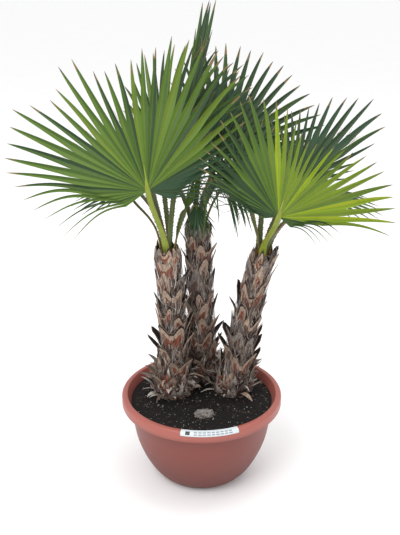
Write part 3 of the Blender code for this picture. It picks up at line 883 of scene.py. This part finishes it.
FRONDS = (
    # The two great fans that face the viewer
    Frond("left_front_frond", LEFT, OUTER_RING, 262, (-0.149, -0.090, 0.956), (-90, 16),
          98, 118, 118, 0.452, sag=0, cup=-0.16,
          reach=((-118, 0.55), (-104, 0.65), (-95, 0.75), (-85, 0.84), (-74, 0.93),
                 (-64, 0.96), (-55, 1.02), (-48, 1.03), (-43, 0.84), (-34, 0.86),
                 (-29, 0.97), (-22, 0.93), (-15, 0.78), (-9, 0.83), (0, 0.82),
                 (5, 0.88), (14, 0.87), (17, 0.97), (24, 0.98), (32, 0.96),
                 (40, 0.98), (47, 0.91), (57, 0.78), (66, 0.77), (78, 0.62),
                 (118, 0.50)),
          # Past 67 degrees the blue greens paint shade on the basal lobe that bends back.
          tones=((-60, (MID, LEAF, MID)), (55, (LEAF, MID, WARM, LEAF)),
                 (67, (WARM, LEAF)), (180, (SHADE_BLUE, SHADE_BLUE, DEEP)))),
    Frond("right_front_frond", RIGHT, OUTER_RING, 262, (0.207, -0.165, 0.905), (-80, 18),
          71, 112, 114, 0.368, sag=0, cup=-0.14,
          reach=((-112, 0.34), (-90, 0.58), (-67, 0.75), (-58, 0.73), (-44, 0.86),
                 (-28, 0.95), (-21, 0.89), (-11, 0.82), (0, 0.67), (8, 0.62),
                 (17, 0.64), (26, 0.72), (35, 0.80), (44, 0.89), (52, 0.97),
                 (60, 1.02), (70, 1.04), (80, 1), (84, 0.94), (88, 0.54),
                 (93, 0.50), (114, 0.40)),
          # Its left part is painted in shade, its right part in sunlit greens, and past 84 degrees
          # in shade again.
          tones=((-62, (DEEP, MID, DEEP)), (-36, (MID, LEAF)), (-24, (LEAF, WARM)),
                 (84, (SUNLIT_BRIGHT, SUNLIT_BRIGHT, SUNLIT_YELLOW, WARM)), (180, (MID, DEEP)))),
    # The upright spear and the fans that show between and beside the great ones
    Frond("left_spear_frond", LEFT, INNER_RING, 300, (-0.052, 0.030, 1.095), (-75, 16),
          73.5, 5.4, 5.4, 0.386, sag=0, cup=0, arch=0.03, pitch=1.8,
          tones=((180, (DEEP, MID, MID)),), width=3.2),
    Frond("left_upper_frond", LEFT, INNER_RING, 60, (-0.112, 0.060, 1.030), (-118, 25),
          88, 62, 50, 0.345, tones=((180, (MID, DEEP, LEAF)),)),
    Frond("left_side_frond", LEFT, OUTER_RING, 190, (-0.215, 0.040, 0.930), (168, 22),
          92, 76, 76, 0.230, pitch=FAR_LEAFLET_PITCH, rise=0.62, tones=OPEN),
    Frond("left_inner_frond", LEFT, OUTER_RING, 334, (-0.052, 0.020, 0.860), (-110, 20),
          62, 26, 26, 0.170, cup=0, tones=((180, (MID, LEAF)),)),
    Frond("middle_right_frond", MIDDLE, INNER_RING, 20, (0.051, 0.160, 0.992), (-80, 24),
          55, 70, 66, 0.382, tones=((180, (DEEP, MID, DEEP)),)),
    Frond("middle_upper_frond", MIDDLE, INNER_RING, 140, (-0.005, 0.120, 1.010),
          (-105, 30), 95, 46, 40, 0.300, tones=SHADED),
    Frond("middle_side_frond", MIDDLE, INNER_RING, 260, (0.030, 0.055, 1.000), (-25, 20),
          84, 60, 60, 0.220, pitch=FAR_LEAFLET_PITCH, tones=SHADED),
    Frond("middle_low_frond", MIDDLE, OUTER_RING, 290, (0.035, 0.010, 0.962), (130, 118),
          90, 60, 60, 0.150, sag=0.08, tones=SHADED),
    Frond("right_back_frond", RIGHT, INNER_RING, 60, (0.268, 0.080, 0.920), (-76, 26),
          50, 58, 48, 0.405,
          reach=((-58, 0.50), (-31, 0.60), (-23, 0.63), (-15, 0.72), (-11, 0.80),
                 (-1, 0.91), (7, 0.99), (11, 1.07), (17, 1.05), (22, 1),
                 (26, 0.90), (32, 0.60), (48, 0.45)),
          tones=((180, (SHADE_BLUE, DEEP, SHADE_BLUE, MID)),)),
    Frond("right_inner_frond", RIGHT, INNER_RING, 180, (0.128, 0.020, 0.930), (-115, 24),
          112, 60, 60, 0.220, tones=SHADED),
    Frond("right_side_frond", RIGHT, INNER_RING, 300, (0.262, -0.020, 0.905), (8, 24),
          90, 70, 70, 0.200, pitch=FAR_LEAFLET_PITCH, tones=OPEN),
    # A small old frond that hangs before the middle stem's top
    Frond("middle_hanging_frond", MIDDLE, OUTER_RING, 218, (-0.016, 0.014, 0.884),
          (-90, 40), -82, 42, 42, 0.110, pitch=FAR_LEAFLET_PITCH, tones=SHADED),
    # The far side of each crown
    far_frond("left_far_frond_1", LEFT, OUTER_RING, 118, 106, 38, 0.27, 12, 0.28, -14),
    far_frond("left_far_frond_2", LEFT, INNER_RING, 180, 142, 56, 0.21, 4, 0.20, 10,
              climb=0.50),
    far_frond("middle_far_frond_1", MIDDLE, OUTER_RING, 2, 18, 55, 0.19, 15, 0.20, -8),
    far_frond("middle_far_frond_2", MIDDLE, OUTER_RING, 74, 62, 42, 0.27, 20, 0.28, 10),
    far_frond("middle_far_frond_3", MIDDLE, OUTER_RING, 146, 122, 42, 0.26, 22, 0.27,
              -12),
    far_frond("right_far_frond_1", RIGHT, OUTER_RING, 46, 42, 32, 0.25, 8, 0.22, -10),
    far_frond("right_far_frond_2", RIGHT, OUTER_RING, 118, 88, 35, 0.26, 12, 0.25, 12),
)


def leaf_finish(name, colour):
    """Leathery green blade: fine parallel veins along it and a slight mottle."""
    finish = Finish(name, 0.42)
    mottle = finish.noise(34.0, 4.0)
    across = finish.coordinate("UV", "X")
    vein = finish.number("Math", {"operation": "SINE"}, (across * 88.0,)) * 0.5 + 0.5
    veined = finish.mix(vein * 0.35, colour, shade(colour, 0.72))
    tinted = finish.mix(mottle * 0.5, veined, shade(colour, 1.28))
    return finish.surface(tinted, 0.36 + mottle * 0.22, vein, 0.0004, 0.45)


LEAVES = [leaf_finish(name, paint(*colour)) for name, colour in (
    ("leaf_deep", (38, 62, 30)),
    ("leaf_shade_blue", (46, 76, 54)),
    ("leaf_mid", (64, 90, 27)),
    ("leaf_green", (82, 108, 30)),
    ("leaf_warm", (98, 118, 32)),
    ("leaf_sunlit_bright", (114, 138, 14)),
    ("leaf_sunlit_yellow", (146, 160, 18)),
    ("leaf_dry", (118, 98, 62)),
    ("leaf_thread", (64, 57, 48)),
)]


def solid_shares(frond):
    """How far each leaflet's solid reaches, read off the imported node's own points."""
    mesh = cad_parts[frond.name].data
    tree = KDTree(len(mesh.vertices))
    for place, vertex in enumerate(mesh.vertices):
        tree.insert(vertex.co, place)
    tree.balance()
    half = frond.out * (0.5 * BLADE_THICKNESS)
    shares = []
    for number in range(frond.leaflets):
        angle = frond.edge_angle(number + 0.5)
        misses = []
        for share in REACH_SHARES:
            tip = frond.point(angle, frond.tip_distance(number, share))
            misses.append((tree.find(tip + half)[2], share))
        shares.append(min(misses)[1])
    return shares


def leaflet_mass(frond, mass, number, share, notches, draw):
    """One leaflet from the hub to its tip, folded in a V along its rib."""
    low_angle = frond.edge_angle(number)
    high_angle = frond.edge_angle(number + 1)
    rib = 0.5 * (low_angle + high_angle)
    half_pitch = 0.5 * (high_angle - low_angle)
    tip = frond.tip_distance(number, share)
    joined = min(notches) * draw.uniform(0.90, 1.0)
    fold = LEAFLET_FOLD * math.radians(2.0 * half_pitch)
    droop = draw.uniform(0.0, 0.012) + 0.05 * smooth_step((abs(rib) - 72.0) / 20.0)
    sway = draw.uniform(-0.9, 0.9)
    green = draw.choice(next(greens for limit, greens in frond.tones if rib <= limit))
    dry_from = draw.uniform(0.86, 0.95)
    thread_from = draw.uniform(0.95, 0.985)
    joined_rows = 9
    free_rows = 12
    rows = []
    uvs = []
    stations = [joined * (0.03 + 0.97 * row / joined_rows) for row in range(joined_rows + 1)]
    stations += [mix(joined, tip, (row + 1) / free_rows) for row in range(free_rows)]
    for distance in stations:
        free = max(0.0, (distance - joined) / (tip - joined))
        taper = (1.0 - free) ** 0.62 * (1.0 - 0.12 * smooth_step(free / 0.12))
        half_width = frond.width * half_pitch * taper * min(distance, joined * 1.06) / distance
        half_width = max(half_width, math.degrees(THREAD_HALF_WIDTH / distance))
        opening = 1.0 + 0.35 * min(1.0, 4 * free)
        depth = fold * min(distance, joined) * (1.0 - free) ** 0.8 * opening
        middle = rib + sway * free * free
        rise = UP * (droop * frond.radius * math.sin(math.pi * free) * 0.9)
        row = []
        for place in ACROSS:
            lift = depth * (abs(place) - 0.5)
            row.append(frond.point(middle + place * half_width, distance, lift) + rise)
        rows.append(row)
        uvs.append([(0.5 + 0.5 * place, distance / tip) for place in ACROSS])

    def tint(row, column):
        along = stations[row] / tip
        if along > thread_from:
            return THREAD
        if along > dry_from:
            return DRY if draw.random() < 0.75 else green
        return green if column < 2 else SHADY_SIDE[green]

    mass.sheet(rows, tint, uvs)


def threads(frond, mass, count, draw):
    """Curled dry threads that the splitting leaflets leave behind in the notches."""
    for _ in range(count):
        place = draw.randrange(1, frond.leaflets)
        angle = frond.edge_angle(place)
        start = frond.notch_distance(place, 1.0)
        length = draw.uniform(0.03, 0.09)
        bend = draw.uniform(-9.0, 9.0)
        path = []
        for step in range(9):
            share = step / 8.0
            path.append(frond.point(angle + bend * share ** 2, start + length * share,
                                    0.004 + 0.02 * math.sin(2.6 * share))
                        - UP * (0.03 * share ** 3))
        mass.ribbon(path, 0.0009, frond.side, DRY)


def hanging_strips(frond, mass, count, draw):
    """Narrow leaflets that have torn free and hang down from the blade."""
    for _ in range(count):
        start = frond.point(draw.uniform(-frond.left, frond.right),
                            frond.radius * draw.uniform(0.25, 0.60))
        outwards = (start - frond.centre).normalized()
        length = draw.uniform(0.06, 0.13)
        path = []
        for step in range(10):
            share = step / 9.0
            path.append(start + outwards * (0.45 * length * share)
                        - UP * (0.9 * length * share ** 1.6) + frond.out * (0.012 * share))
        # They are coloured mostly in the darker greens that paint shade.
        mass.ribbon(path, draw.uniform(0.005, 0.010), frond.side,
                    draw.choice((DEEP, SHADE_BLUE, MID, MID)))


def stalk_path(frond, rings):
    """Centre, heading, sideways way and half sizes along the petiole, as in its solid."""
    stem = STEMS[frond.stem]
    outwards = direction(frond.foot_azimuth, 0.0)
    foot = stem.top + outwards * frond.ring + UP * GAP
    foot_size = INNER_FOOT if frond.ring == INNER_RING else OUTER_FOOT
    span = (frond.centre - foot).length
    heading = (frond.centre - foot).normalized()
    arrival = (heading * 0.55 + frond.along * 0.45).normalized()
    early = foot + UP * (frond.rise * span)
    late = frond.centre - arrival * (0.33 * span)
    tangential = UP.cross(outwards)
    if tangential.dot(frond.side) < 0.0:
        tangential = -tangential
    for number in range(rings):
        share = number / (rings - 1)
        rest = 1.0 - share
        centre = (foot * rest ** 3 + early * (3.0 * rest ** 2 * share)
                  + late * (3.0 * rest * share ** 2) + frond.centre * share ** 3)
        heading = ((early - foot) * rest ** 2 + (late - early) * (2.0 * rest * share)
                   + (frond.centre - late) * share ** 2).normalized()
        wide = mix(tangential, frond.side, smooth_step(share))
        across = (wide - heading * wide.dot(heading)).normalized()
        narrowing = smooth_step(share * 2.2)
        yield (centre, heading, across, mix(foot_size[0], PETIOLE_NECK[0], narrowing),
               mix(foot_size[1], PETIOLE_NECK[1], narrowing))


def stalk_finish(name, colour, edge):
    finish = Finish(name, 0.45)
    streak = finish.noise(60.0, 4.0, (3.0, 3.0, 0.4))
    blotch = finish.noise(24.0, 3.0)
    tone = finish.mix(finish.band(streak, 0.40, 0.75), colour, shade(colour, 0.70))
    return finish.surface(finish.mix(blotch * 0.4, tone, edge), 0.36 + streak * 0.2, streak,
                          0.0006, 0.4)


STALKS = [stalk_finish(name, paint(*colour), paint(*edge)) for name, colour, edge in (
    ("stalk_green", (118, 136, 42), (146, 152, 60)),
    ("stalk_shaded", (74, 92, 42), (98, 104, 52)),
    ("stalk_edge", (134, 104, 56), (110, 76, 44)),
    ("stalk_thorn", (122, 70, 40), (78, 44, 30)),
    ("stalk_foot", (150, 120, 76), (112, 84, 58)),
)]
STALK_GREEN, STALK_SHADED, STALK_EDGE, STALK_THORN, STALK_FOOT = range(5)
TEETH = 22
TOOTH_LENGTH = 0.0042
TOOTH_HALF_ROOT = 0.0022
TOOTH_HALF_DEPTH = 0.0007


def stalk_mass(frond, mass, lit, draw):
    """The petiole: flat above, round below, brown along its toothed edges, with its costa."""
    rings = 36
    sides = 14
    face = STALK_GREEN if lit else STALK_SHADED
    rows = []
    path = list(stalk_path(frond, rings))
    for centre, heading, across, half_width, half_depth in path:
        deep = heading.cross(across)
        row = []
        for side in range(sides):
            angle = math.tau * side / sides
            hollow = PETIOLE_FLAT if math.sin(angle) * frond.out.dot(deep) > 0.0 else 1.0
            row.append(centre + across * (math.cos(angle) * half_width)
                       + deep * (math.sin(angle) * half_depth * hollow))
        rows.append(row)
    costa_end = frond.point(0.0, COSTA_SHARE * frond.radius)
    for step in (0.5, 1.0):
        centre = mix(frond.centre, costa_end, step)
        deep = frond.along.cross(frond.side)
        size = mix(PETIOLE_NECK[1], COSTA_END, step)
        rows.append([centre + frond.side * (math.cos(math.tau * side / sides) * size)
                     + deep * (math.sin(math.tau * side / sides) * size * 0.8)
                     for side in range(sides)])

    def tint(row, column):
        if row < 2:
            return STALK_FOOT
        return STALK_EDGE if column in (0, sides // 2 - 1, sides // 2, sides - 1) else face

    mass.sheet(rows, tint, closed=True)
    for tooth in range(TEETH):
        share = mix(0.10, 0.94, (tooth + draw.uniform(-0.2, 0.2)) / (TEETH - 1))
        centre, heading, across, half_width, _ = path[min(rings - 1, max(0, int(share * rings)))]
        for way in (-1.0, 1.0):
            root = centre + across * (way * half_width * 0.92)
            point = root + across * (way * TOOTH_LENGTH)
            point = point + heading * draw.uniform(-0.003, 0.0035)
            along = heading * TOOTH_HALF_ROOT
            deep = heading.cross(across) * TOOTH_HALF_DEPTH
            start = len(mass.points)
            mass.points += [root - along, root + along, root + deep, root - deep, point]
            mass.uvs += [(0.0, 0.0)] * 5
            for trio in ((0, 2, 4), (2, 1, 4), (1, 3, 4), (3, 0, 4)):
                mass.faces.append(tuple(start + corner for corner in trio))
                mass.dealt.append(STALK_THORN)


TORN_FRONDS = ("middle_low_frond", "left_inner_frond", "middle_side_frond", "right_inner_frond")
TORN_STRIPS = 12
GREAT_RADIUS = 0.3
GREAT_THREADS = 10
SMALL_THREADS = 3
FROND_SEED = 500


def dress_frond(frond, number):
    draw = random.Random(FROND_SEED + number)
    shares = solid_shares(frond)
    fan = Mass()
    for leaflet in range(frond.leaflets):
        around = shares[max(0, leaflet - 1):leaflet + 2]
        notches = [frond.notch_distance(place, min(around)) for place in (leaflet, leaflet + 1)]
        leaflet_mass(frond, fan, leaflet, shares[leaflet], notches, draw)
    threads(frond, fan, GREAT_THREADS if frond.radius > GREAT_RADIUS else SMALL_THREADS, draw)
    if frond.name in TORN_FRONDS:
        hanging_strips(frond, fan, TORN_STRIPS, draw)
    blade = fan.make(frond.name + "_blade", LEAVES)
    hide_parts(frond.name)
    rib = Mass()
    stalk_mass(frond, rib, frond.name.endswith("front_frond"), draw)
    stalk = rib.make(frond.name + "_stalk", STALKS)


for place, frond in enumerate(FRONDS):
    dress_frond(frond, place)

# The studio isn't part of the plant: a wide pale floor under the bowl, two soft lights from
# above, a white sky, and a camera that stands and points as the photograph's does.
FLOOR_HALF = 60.0
FLOOR_LEVEL = -0.0005
LIGHT_AIM = Vector((0.0, 0.0, 0.7))
CAMERA_PLACE = (-0.005, -2.3, 1.6)
CAMERA_DIP = 21.5
CAMERA_SENSOR = 36.0
CAMERA_LENS = 56.05


def floor_finish():
    finish = Finish("studio_floor", 0.1)
    grain = finish.noise(3.0, 2.0)
    return finish.surface(finish.mix(grain, paint(252, 252, 252), paint(249, 249, 250)), 0.9)


floor_mesh = bpy.data.meshes.new("studio_floor")
floor_mesh.from_pydata([(x * FLOOR_HALF, y * FLOOR_HALF, FLOOR_LEVEL)
                        for x, y in ((-1, -1), (1, -1), (1, 1), (-1, 1))], [], [(0, 1, 2, 3)])
floor_mesh.materials.append(floor_finish())
floor = bpy.data.objects.new("studio_floor", floor_mesh)
bpy.context.scene.collection.objects.link(floor)

world = bpy.data.worlds.new("studio")
world.use_nodes = True
background = world.node_tree.nodes["Background"]
background.inputs["Color"].default_value = (1.0, 1.0, 1.0, 1.0)
background.inputs["Strength"].default_value = 1.0
bpy.context.scene.world = world


def soft_light(name, place, size, power):
    lamp = bpy.data.lights.new(name, "AREA")
    lamp.size = size
    lamp.energy = power
    thing = bpy.data.objects.new(name, lamp)
    thing.location = place
    thing.rotation_euler = (LIGHT_AIM - Vector(place)).to_track_quat("-Z", "Y").to_euler()
    bpy.context.scene.collection.objects.link(thing)


soft_light("key_light", (-1.6, -2.4, 3.6), size=2.2, power=70.0)
soft_light("top_light", (0.8, 0.6, 4.2), size=3.0, power=60.0)

camera_data = bpy.data.cameras.new("photo_camera")
camera_data.sensor_width = CAMERA_SENSOR
camera_data.lens = CAMERA_LENS
camera = bpy.data.objects.new("photo_camera", camera_data)
camera.location = CAMERA_PLACE
camera.rotation_euler = (math.radians(90.0 - CAMERA_DIP), 0.0, 0.0)
bpy.context.scene.collection.objects.link(camera)
bpy.context.scene.camera = camera
bpy.context.scene.view_settings.view_transform = "Standard"

bpy.context.view_layer.update()
